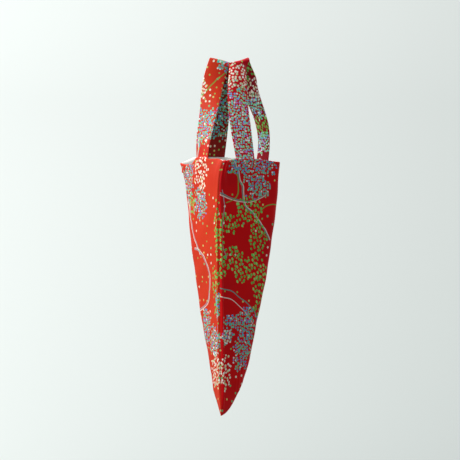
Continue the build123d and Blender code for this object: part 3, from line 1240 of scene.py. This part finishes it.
@dataclass
class Handle:
    """A strap from its tail in the front wall, over its crown, to its tail in the back wall."""

    side: Side
    rim: float
    front: Leg
    back: Leg
    crown: tuple[float, float]
    tilt: float
    plan_turn: float
    width: float = 30 * MM
    thickness: float = 2.0 * MM
    wire: float = 2.6 * MM
    tail: float = 11 * MM
    stitch_inset: float = 2.5 * MM
    bend_height: float = 35 * MM
    row_step: float = 2.2 * MM

    def leg_line(self, leg: Leg, outward: int) -> tuple[np.ndarray, np.ndarray, np.ndarray]:
        """The middle line of a leg from its tail up to the crown.

        Args:
            leg: The leg's sizes.
            outward: -1 for the front leg and 1 for the back leg.

        Returns:
            Points (n, 3), unit directions across the strap (n, 3), and each point's cup (n,).
        """
        wire = self.wire_way()
        middle = np.array([self.crown[0], 0.0, self.crown[1]]) + wire * leg.crown_shift
        end = middle + outward * (self.wire + self.thickness / 2) * self.forward()
        base = np.array([*leg.base, self.rim])
        q = np.linspace(0, 1, int((end[2] - self.rim) / self.row_step))
        line = base + (end - base) * q[:, None]
        line[:, 0] += sum(s * np.sin((k + 1) * PI * q) for k, s in enumerate(leg.sway))
        line[:, 1] += outward * leg.bow * np.sin(PI * q) ** 1.5
        part = q**leg.ease_power
        yaw = leg.yaw * (1 - part) + self.plan_turn * part + leg.swing * np.sin(PI * q)
        level = np.stack([np.cos(yaw), np.sin(yaw), 0 * q], axis=-1)
        hold = ease(q, 0.72, 1.0)[:, None]
        across = unit(level * (1 - hold) + wire * hold)
        depths = np.linspace(-self.tail, 0, 6)[:-1]
        tail = base + UP * depths[:, None]
        return (
            np.concatenate([tail, line]),
            np.concatenate([np.repeat(level[:1], len(tail), 0), across]),
            np.concatenate([np.zeros(len(tail)), leg.cup * ease(q, 0.35, 0.98)]),
        )

    def wire_way(self) -> np.ndarray:
        """Unit direction across the strap where it lies over the wire."""
        level = np.array([np.cos(self.plan_turn), np.sin(self.plan_turn), 0.0])
        return level * np.cos(self.tilt) + UP * np.sin(self.tilt)

    def forward(self) -> np.ndarray:
        """Level unit direction square to the wire, to the back."""
        return np.array([-np.sin(self.plan_turn), np.cos(self.plan_turn), 0.0])

    def centreline(self) -> tuple[np.ndarray, np.ndarray, np.ndarray]:
        """The whole middle line: the front leg, a half turn over the wire, and the back leg."""
        front, back = self.leg_line(self.front, -1), self.leg_line(self.back, 1)
        turn = np.linspace(0, PI, 15)[1:-1]
        share = turn / PI
        radius = self.wire + self.thickness / 2
        start, stop = front[0][-1], back[0][-1]
        forward, wire = self.forward() * radius, self.wire_way()
        up = np.cross(wire, forward)
        hub_front, hub_back = start + forward, stop - forward
        middle = hub_front + (hub_back - hub_front) * share[:, None]
        arc = middle - forward * np.cos(turn)[:, None] + up * np.sin(turn)[:, None]
        cups = self.front.cup + (self.back.cup - self.front.cup) * share
        return (
            np.concatenate([front[0], arc, back[0][::-1]]),
            np.concatenate([front[1], np.repeat(wire[None], len(turn), 0), back[1][::-1]]),
            np.concatenate([front[2], cups * (1 - 0.6 * np.sin(turn)), back[2][::-1]]),
        )

    def frame_rows(self) -> tuple[np.ndarray, np.ndarray, np.ndarray, np.ndarray]:
        """Middle line, directions across the strap and out of the loop, and cups, smoothed."""
        line, across, cup = self.centreline()
        for _ in range(2):
            line[6:-6] = (line[5:-7] + 2 * line[6:-6] + line[7:-5]) / 4
            across[6:-6] = unit((across[5:-7] + 2 * across[6:-6] + across[7:-5]) / 4)
        ahead = unit(np.gradient(line, axis=0))
        across = unit(across - ahead * (across * ahead).sum(-1, keepdims=True))
        return line, across, np.cross(across, ahead), cup

    def place(self, x: np.ndarray, lift: np.ndarray) -> np.ndarray:
        """Points at distances x across the strap and lift out of it, all along the strap.

        The strap is cupped: across it follows an arc whose half angle is the cup, so its chord
        narrows while its cloth keeps its width. On the legs the arc is centred on the middle line;
        over the last 20 mm up to the wire its middle comes to lie on that line.

        Args:
            x: Array (columns,) from -width / 2 to width / 2.
            lift: Array (columns,) out of the loop.

        Returns:
            Array (rows, columns, 3).
        """
        line, across, out, cup = self.frame_rows()
        angle = np.maximum(np.abs(cup), 1e-4) * np.sign(cup + 1e-9)
        radius = (self.width / 2) / angle
        around = x[None] / radius[:, None]
        reach = radius[:, None] + lift[None]
        sideways = reach * np.sin(around)
        outwards = reach * np.cos(around) - radius[:, None]
        rise = np.clip((line[:, 2] + 0.02) / 0.02, 0, 1)
        centring = (radius * (1 - np.cos(angle)) * 0.5 * (1 - rise))[:, None]
        run = run_length(line, 0)[:, None]
        wave = 0.25 * MM * np.sin(run * 95 + x[None] * 120 + self.side.value)
        wave = wave * np.clip((line[:, None, 2] - self.rim) / 0.03, 0, 1)
        sideways, outwards = sideways[..., None], (outwards + centring + wave)[..., None]
        return line[:, None] + across[:, None] * sideways + out[:, None] * outwards

    def half_thickness(self, x: np.ndarray) -> np.ndarray:
        """Half the strap's thickness at x: rounded at its edges and drawn in by the two rows.

        It is thickness / 2 * sqrt(1 - |2x / width|^9), less a bell curve at each row of stitches
        and with a wider one added along the middle.
        """
        share = np.clip(np.abs(x) / (self.width / 2), 0, 1)
        row = bell(np.abs(x), self.width / 2 - self.stitch_inset, 0.9 * MM)
        full = 1 + 0.12 * bell(x, 0, 6 * MM)
        return self.thickness / 2 * np.sqrt(1 - share**9) * (1 - 0.28 * row) * full

    def strap(self) -> bpy.types.Object:
        """The strap: its closed cross-section carried along the middle line."""
        around = np.arange(64) * (2 * PI / 64)
        x = self.width / 2 * np.cos(around)
        lift = self.half_thickness(x) * np.where(np.sin(around) >= 0, 1, -1)
        points = self.place(x, lift)
        run = run_length(self.frame_rows()[0], 0)
        steps = np.hypot(np.diff(x, append=x[:1]), np.diff(lift, append=lift[:1]))
        girth = np.concatenate([[0], np.cumsum(steps)])
        uv = np.stack(np.broadcast_arrays(girth[None], run[:, None]), axis=-1)
        name = f"{self.side.word}_strap_cloth"
        piece = make_grid(name, points, uv, wrap=True, caps=(True, True))
        outward_faces(piece)
        return piece

    def stitches(self) -> bpy.types.Object:
        """Four rows of stitches: near both edges, on the outer and the inner face."""
        rows = []
        for edge in (-1, 1):
            x = np.array([edge * (self.width / 2 - self.stitch_inset)])
            for face in (-1, 1):
                lift = face * self.half_thickness(x)
                path = self.place(x, lift)[:, 0]
                out = unit(self.place(x, lift + face * MM)[:, 0] - path)
                rows.append(stitch_row(path[6:-6], out[6:-6], STRAP_STITCH))
        return make_stitches(f"{self.side.word}_strap_stitches", rows)

    def build(self, cloth: PrintedCloth, thread: bpy.types.Material) -> None:
        """Builds and dresses the handle's two pieces, and bakes their transforms.

        Args:
            cloth: The strap's finish.
            thread: The stitches' material.
        """
        word = self.side.word
        strap, stitches = self.strap(), self.stitches()
        dress(strap, cloth.material(), None)
        dress(stitches, thread, None)
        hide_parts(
            f"{word}_strap",
            f"{word}_strap_core",
            f"{word}_front_strap_root",
            f"{word}_back_strap_root",
        )
        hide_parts(f"{word}_strap_stitching")
        for piece in (strap, stitches):
            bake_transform(piece)


def outward_faces(piece: bpy.types.Object) -> None:
    """Turns a closed piece's faces outwards, by the sign of its volume.

    The volume is the sum over triangles of the triple product of their corners, over six.
    """
    mesh = piece.data
    mesh.calc_loop_triangles()
    corners = np.zeros(len(mesh.loop_triangles) * 3, np.int32)
    mesh.loop_triangles.foreach_get("vertices", corners)
    co = np.zeros(len(mesh.vertices) * 3, np.float32)
    mesh.vertices.foreach_get("co", co)
    a, b, c = np.moveaxis(co.reshape(-1, 3)[corners.reshape(-1, 3)], 1, 0)
    if (a * np.cross(b, c)).sum() < 0:
        mesh.flip_normals()


# ------------------------------------------------------------------ the studio


@dataclass(frozen=True)
class Lamp:
    """A square area light: where it stands and points, its size, its watts and its colour."""

    name: str
    place: Point
    aim: Point
    size: float
    power: float
    colour: Point = (1.0, 1.0, 1.0)

    def build(self) -> None:
        """Adds the light, unseen by the camera."""
        data = bpy.data.lights.new(self.name, "AREA")
        data.shape = "SQUARE"
        data.size = self.size
        data.energy = self.power
        data.color = self.colour
        lamp = bpy.data.objects.new(self.name, data)
        lamp.location = self.place
        lamp.rotation_mode = "QUATERNION"
        way = Vector(self.aim) - Vector(self.place)
        lamp.rotation_quaternion = way.to_track_quat("-Z", "Y")
        lamp.visible_camera = False
        bpy.context.scene.collection.objects.link(lamp)


LAMPS = (
    Lamp("key_light", (-1.5, -0.5, 0.5), (0.0, 0.0, -0.28), 1.1, 22.0, (1.0, 0.985, 0.96)),
    Lamp("wall_light", (-1.2, 0.8, 1.2), (0.0, 3.2, -0.3), 1.8, 78.0),
    Lamp("rear_wall_light", (0.5, -1.0, 1.0), (0.5, -3.2, 0.3), 1.6, 62.0),
    Lamp("top_light", (0.15, 0.25, 1.7), (0.0, 0.0, -0.13), 1.0, 16.0, (1.0, 1.0, 0.99)),
    Lamp("edge_light", (1.5, 0.9, 0.1), (0.0, 0.0, -0.3), 0.8, 5.0, (0.96, 0.99, 1.0)),
    Lamp("front_light", (0.9, -2.3, 1.0), (0.0, 0.0, -0.25), 1.4, 7.5, (0.95, 0.98, 1.0)),
)


@dataclass(frozen=True)
class Studio:
    """A pale bowl of floor and wall round the bag, soft lights, and the camera."""

    eye: Point = (-2.07 * MM, -2.0, -225.7 * MM)
    view_width: float = 0.634
    sensor: float = 36.0
    air_colour: Colour = (0.90, 0.95, 1.0, 1.0)
    air_strength: float = 0.26
    sides: int = 96
    floor: float = -0.95
    flat_radius: float = 2.2
    cove: float = 1.2
    wall_top: float = 2.6

    def bowl(self) -> bpy.types.Object:
        """The floor and wall: a flat floor, a quarter-round cove and a wall, turned round z."""
        turn = np.linspace(0, PI / 2, 25)
        outer = self.flat_radius + self.cove
        radius = np.concatenate([[0.4, 1.2], self.flat_radius + self.cove * np.sin(turn), [outer]])
        rise = np.concatenate([[0.0, 0.0], self.cove * (1 - np.cos(turn)), [self.wall_top]])
        around = np.arange(self.sides) * (2 * PI / self.sides)
        x, y = radius[:, None] * np.cos(around), radius[:, None] * np.sin(around)
        z = np.broadcast_to(rise[:, None] + self.floor, x.shape)
        uv = np.zeros((len(radius), self.sides + 1, 2))
        points = np.stack([x, y, z], axis=-1)
        bowl = make_grid("studio_bowl", points, uv, wrap=True, flip=True, caps=(True, False))
        bowl.data.materials.append(PalePaint().material())
        bowl.visible_diffuse = False
        bowl.visible_glossy = False
        return bowl

    def camera(self) -> None:
        """The camera: level, straight along +Y, with a long lens."""
        data = bpy.data.cameras.new("view_camera")
        data.sensor_width = self.sensor
        data.lens = self.sensor * -self.eye[1] / self.view_width
        data.clip_end = 40.0
        camera = bpy.data.objects.new("view_camera", data)
        camera.location = self.eye
        camera.rotation_euler = (PI / 2, 0.0, 0.0)
        bpy.context.scene.collection.objects.link(camera)
        bpy.context.scene.camera = camera

    def build(self) -> None:
        """Sets up the studio."""
        self.camera()
        self.bowl()
        world = bpy.data.worlds.new("studio_air")
        world.use_nodes = True
        air = world.node_tree.nodes["Background"]
        air.inputs[0].default_value = self.air_colour
        air.inputs[1].default_value = self.air_strength
        bpy.context.scene.world = world
        for lamp in LAMPS:
            lamp.build()
        bpy.context.scene.view_settings.view_transform = "Standard"
        LOG.info("studio: floor at %.2f m", self.floor)


# ------------------------------------------------------------------ this bag's print

TEAL = srgb(96, 160, 150)
GREY_VIOLET = srgb(176, 168, 176)
LEAF_LINE = srgb(120, 176, 70)
INNER_FACE = 32.4 * MM
TIP_RAISE = 6 * MM

PRINT_RIGHT = PrintedCloth(
    "printed_cloth_right_panel",
    (
        Patch(Dots.COOL, 50, 7, 46, 14),
        Patch(Dots.COOL, 58, 28, 22, 27),
        Patch(Dots.COOL, 46, 232, 18, 36),
        Patch(Dots.COOL, 36, 264, 15, 24),
        Patch(Dots.COOL, 24, 216, 22, 10),
        Patch(Dots.COOL, 14, 238, 12, 13),
        Patch(Dots.CREAM, 8, 286, 13, 26),
        Patch(Dots.CREAM, 13, 238, 8, 10),
        Patch(Dots.LEAF, 46, 66, 20, 17),
        Patch(Dots.LEAF, 22, 84, 20, 12),
        Patch(Dots.LEAF, 62, 106, 13, 28),
        Patch(Dots.LEAF, 24, 132, 24, 17),
        Patch(Dots.LEAF, 44, 146, 22, 16),
        Patch(Dots.LEAF, 66, 172, 12, 40),
        Patch(Dots.LEAF, 4, 118, 8, 40),
        Patch(Dots.COOL, 128, 40, 30, 26),
        Patch(Dots.CREAM, 160, 22, 20, 22),
        Patch(Dots.LEAF, 132, 118, 26, 34),
        Patch(Dots.COOL, 112, 210, 20, 26),
        Patch(Dots.CREAM, 92, 262, 16, 22),
    ),
    (
        Stroke(14, 0.56, 6, 16, 1.2, -2, 108, TEAL, 1.9),
        Stroke(6, 0.06, 4, 13, 2.8, 40, 132, GREY_VIOLET),
        Stroke(58, 0.06, 8, 13, 0.0, 218, 300, GREY_VIOLET, 1.6),
        Stroke(150, -0.25, 11, 18, 1.0, 50, 230, TEAL, 1.9),
    ),
    (
        Arc(36, 0, 55, (2, 38, 72, 70), TEAL, 2.0),
        Arc(10, 36, 21, (12, 12, 60, 58), LEAF_LINE),
        Arc(86, 82, 23, (60, 56, 92, 104), LEAF_LINE),
        Arc(-6, 250, 78, (-2, 160, 62, 222), TEAL, -11.0),
        Arc(150, 130, 40, (112, 90, 150, 168), PALE_LINE, 2.0),
    ),
)

PRINT_LEFT = PrintedCloth(
    "printed_cloth_left_panel",
    (
        Patch(Dots.COOL, 84, 24, 22, 28),
        Patch(Dots.COOL, 45, 59, 19, 23),
        Patch(Dots.CREAM, 44, 17, 15, 26),
        Patch(Dots.LEAF, 70, 56, 10, 17),
        Patch(Dots.COOL, 17, 244, 22, 21),
        Patch(Dots.COOL, 42, 228, 13, 26),
        Patch(Dots.CREAM, 14, 286, 20, 25),
        Patch(Dots.COOL, 6, 196, 8, 22),
        Patch(Dots.LEAF, 10, 176, 10, 34),
        Patch(Dots.LEAF, 5, 96, 6, 44),
        Patch(Dots.COOL, 132, 34, 26, 24),
        Patch(Dots.LEAF, 120, 100, 24, 40),
        Patch(Dots.CREAM, 150, 90, 16, 20),
        Patch(Dots.COOL, 104, 196, 22, 30),
    ),
    (
        Stroke(112, -0.5, 5, 17, 1.6, 50, 128, GREY_VIOLET, 2.2),
        Stroke(150, -0.12, 12, 16, 0.2, 20, 210, TEAL, 1.8),
    ),
    (
        Arc(70, 162, 42, (22, 112, 66, 206), GREY_VIOLET, 2.2),
        Arc(120, 150, 30, (96, 118, 150, 184), LEAF_LINE),
    ),
    lone_share=0.42,
    # Orange-red copy of the red for the lit left panel: painted light.
    red=srgb(222, 58, 26),
    deep_red=srgb(217, 50, 24),
)

PRINT_LEFT_STRAP = PrintedCloth(
    "printed_cloth_left_strap",
    (
        Patch(Dots.COOL, 14, 60, 40, 27),
        Patch(Dots.CREAM, 27, 112, 5, 16),
        Patch(Dots.COOL, 4, 150, 16, 12),
        Patch(Dots.COOL, 46, 226, 40, 42),
        Patch(Dots.LEAF, 10, 190, 18, 30),
    ),
    (
        Stroke(92, -0.62, 3, 12, 0.0, 100, 140, LEAF_LINE),
        Stroke(25, -0.03, 1.5, 9, 0.5, 8, 44, GREY_VIOLET, 1.6),
    ),
    lone_share=0.6,
    lone_pitch=7.0 * MM,
    # Orange-red copy of the red for the lit left strap: painted light.
    red=srgb(218, 56, 26),
    deep_red=srgb(206, 34, 24),
    inner_from=INNER_FACE,
    inner_painted_shade=0.45,
)

PRINT_RIGHT_STRAP = PrintedCloth(
    "printed_cloth_right_strap",
    (
        Patch(Dots.COOL, 16, 56, 60, 60),
        Patch(Dots.CREAM, 16, 134, 34, 18),
        Patch(Dots.LEAF, 44, 176, 30, 18),
        Patch(Dots.CREAM, 46, 204, 24, 15),
        Patch(Dots.COOL, 46, 226, 30, 18),
        Patch(Dots.LEAF, 46, 256, 22, 16),
        Patch(Dots.COOL, 46, 280, 30, 16),
    ),
    # Deep crimson copy of the red for the right strap, on the shaded side: painted shade.
    red=srgb(214, 6, 22),
    deep_red=srgb(200, 4, 38),
    cool=PAINTED_LIGHT_COOL,
    inner_from=INNER_FACE,
)


def make_handles(rim: float) -> tuple[Handle, Handle]:
    """The two handles, with the places of their legs on the rim and of their crowns on the wire."""
    left = Handle(
        Side.LEFT,
        rim,
        front=Leg(
            base=(-39.7 * MM, -27.8 * MM),
            yaw=np.radians(-58.6),
            sway=(-4.0 * MM, 0.2 * MM, -1.0 * MM),
            bow=3.0 * MM,
            ease_power=1.2,
            crown_shift=-1.0 * MM,
            cup=0.25,
        ),
        back=Leg(
            base=(-24.3 * MM, 41.9 * MM),
            yaw=np.radians(26.6),
            sway=(2.0 * MM, 0.0, 0.0),
            bow=2.0 * MM,
            ease_power=1.0,
            crown_shift=1.0 * MM,
            cup=0.2,
        ),
        crown=(-15.9 * MM, 4.26 * MM),
        tilt=np.radians(-15.0),
        plan_turn=0.0,
    )
    right = Handle(
        Side.RIGHT,
        rim,
        front=Leg(
            base=(18.9 * MM, -44.6 * MM),
            yaw=np.radians(33.0),
            sway=(-5.2 * MM, 0.6 * MM, 0.0),
            bow=3.0 * MM,
            ease_power=1.2,
            crown_shift=-2.2 * MM,
            cup=0.8,
            swing=np.radians(-12.0),
        ),
        back=Leg(
            base=(42.8 * MM, 22.6 * MM),
            yaw=np.radians(-58.6),
            sway=(11.2 * MM, 2.2 * MM, 0.0),
            bow=2.0 * MM,
            ease_power=4.5,
            crown_shift=2.2 * MM,
            cup=0.5,
        ),
        crown=(11.2 * MM, 3.4 * MM),
        tilt=np.radians(17.0),
        plan_turn=np.radians(32.0),
    )
    return left, right


def main() -> None:
    """Builds the studio, the bag's body and its handles."""
    logging.basicConfig(level=logging.INFO, format="%(name)s | %(message)s")
    Studio().build()
    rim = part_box("left_lining")[1].z
    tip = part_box("left_panel")[0].z + TIP_RAISE
    thread = Thread()
    BagBody(rim, tip).build(PRINT_LEFT, PRINT_RIGHT, LiningCloth(), thread)
    stitches = thread.material()
    for handle, cloth in zip(make_handles(rim), (PRINT_LEFT_STRAP, PRINT_RIGHT_STRAP)):
        handle.build(cloth, stitches)


if __name__ == "__main__":
    main()
